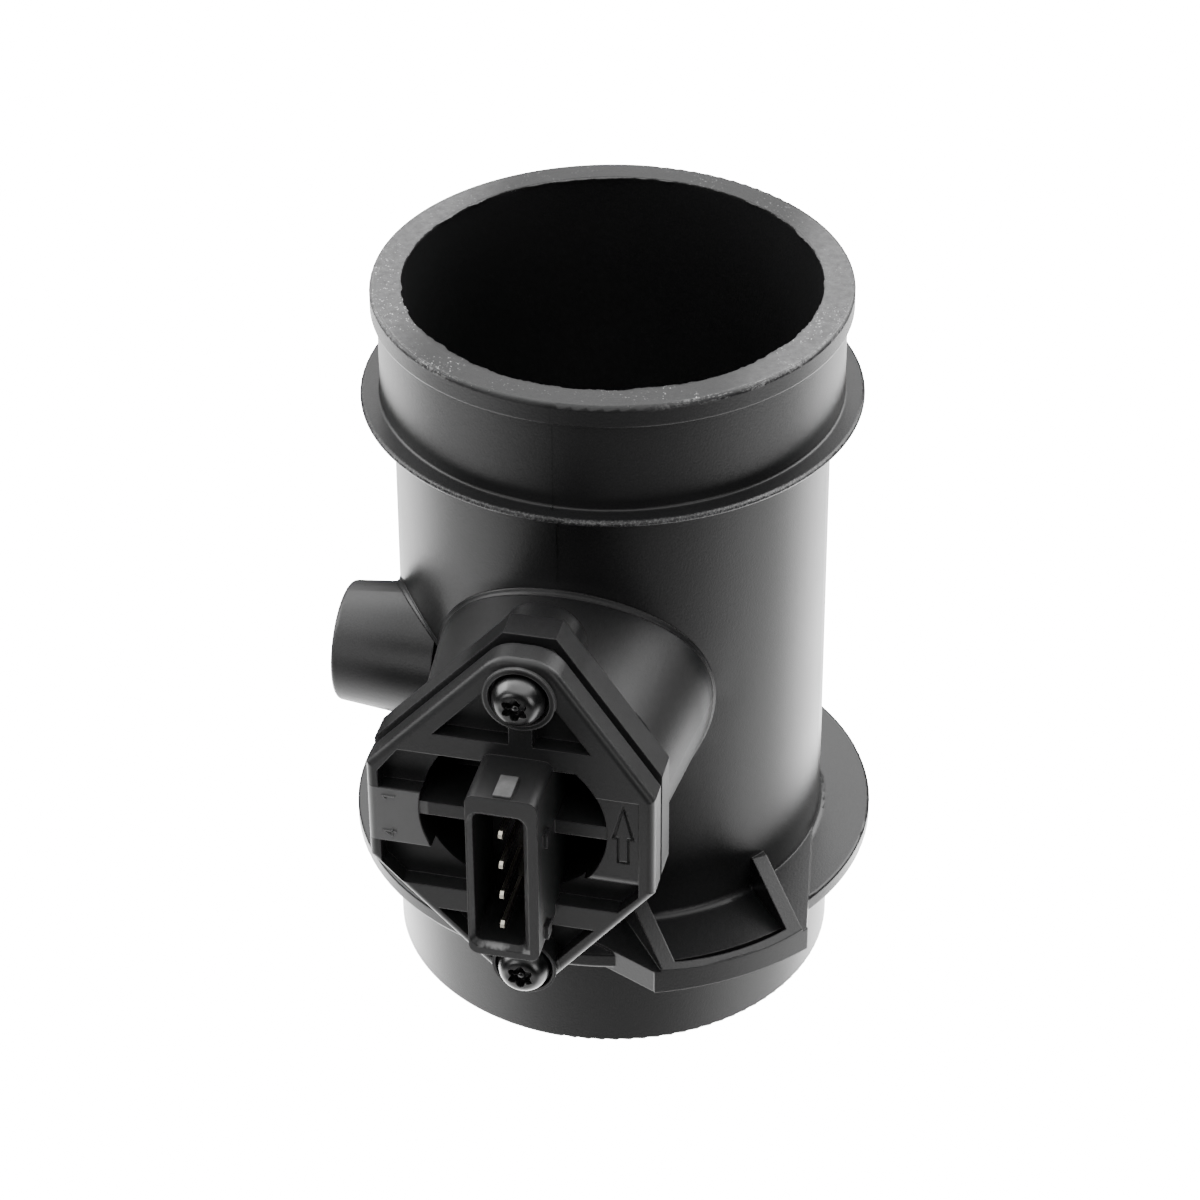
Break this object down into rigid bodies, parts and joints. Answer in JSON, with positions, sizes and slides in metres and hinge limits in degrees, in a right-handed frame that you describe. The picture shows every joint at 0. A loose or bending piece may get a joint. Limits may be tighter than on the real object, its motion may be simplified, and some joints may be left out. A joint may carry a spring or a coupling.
{
  "type": "mass airflow sensor",
  "caption": "Moulded measuring tube with a clip-on inlet flange, hose bead, side hose stub and a screwed plug-in hot-film module with a connector on its face.",
  "frame": {"origin": "Centre of the inlet spigot's end face, on the tube's axis", "axes": "+Z is the way the air flows, along the tube's axis; the connector plate faces -Y; the hose stub points to -X"},
  "size_m": [0.0908, 0.1227, 0.13],
  "materials": {
    "housing_plastic": "black glass-filled nylon, satin, finely grained",
    "module_plastic": "black glass-filled polyester, satin",
    "tinned_brass": "tinned, slightly warm",
    "aluminium_sheet": "mill finish sheet",
    "board_ceramic": null,
    "chip_resin": "black moulding resin",
    "capacitor_ceramic": "sintered ceramic with tinned ends",
    "silicon": null,
    "thermistor_glass": "glass bead on tinned wires",
    "seal_rubber": "moulded O-ring",
    "screw_steel": "black zinc, shiny",
    "screen_wire": "stainless wire"
  },
  "bodies": {
    "root": {"tube_housing": "housing_plastic", "connector_plate": "module_plastic", "terminal_1": "tinned_brass", "terminal_2": "tinned_brass", "terminal_3": "tinned_brass", "terminal_4": "tinned_brass", "base_plate": "aluminium_sheet", "circuit_cover": "module_plastic", "channel_cover": "module_plastic", "hybrid_board": "board_ceramic", "evaluation_circuit": "chip_resin", "capacitor_1": "capacitor_ceramic", "capacitor_2": "capacitor_ceramic", "hot_film_chip": "silicon", "sensor_carrier": "aluminium_sheet", "air_thermistor": "thermistor_glass", "stem_seal": "seal_rubber", "upper_screw": "screw_steel", "lower_screw": "screw_steel", "flow_straightener": "housing_plastic", "inlet_screen": "screen_wire", "screen_ring": "housing_plastic"}
  },
  "joints": []
}
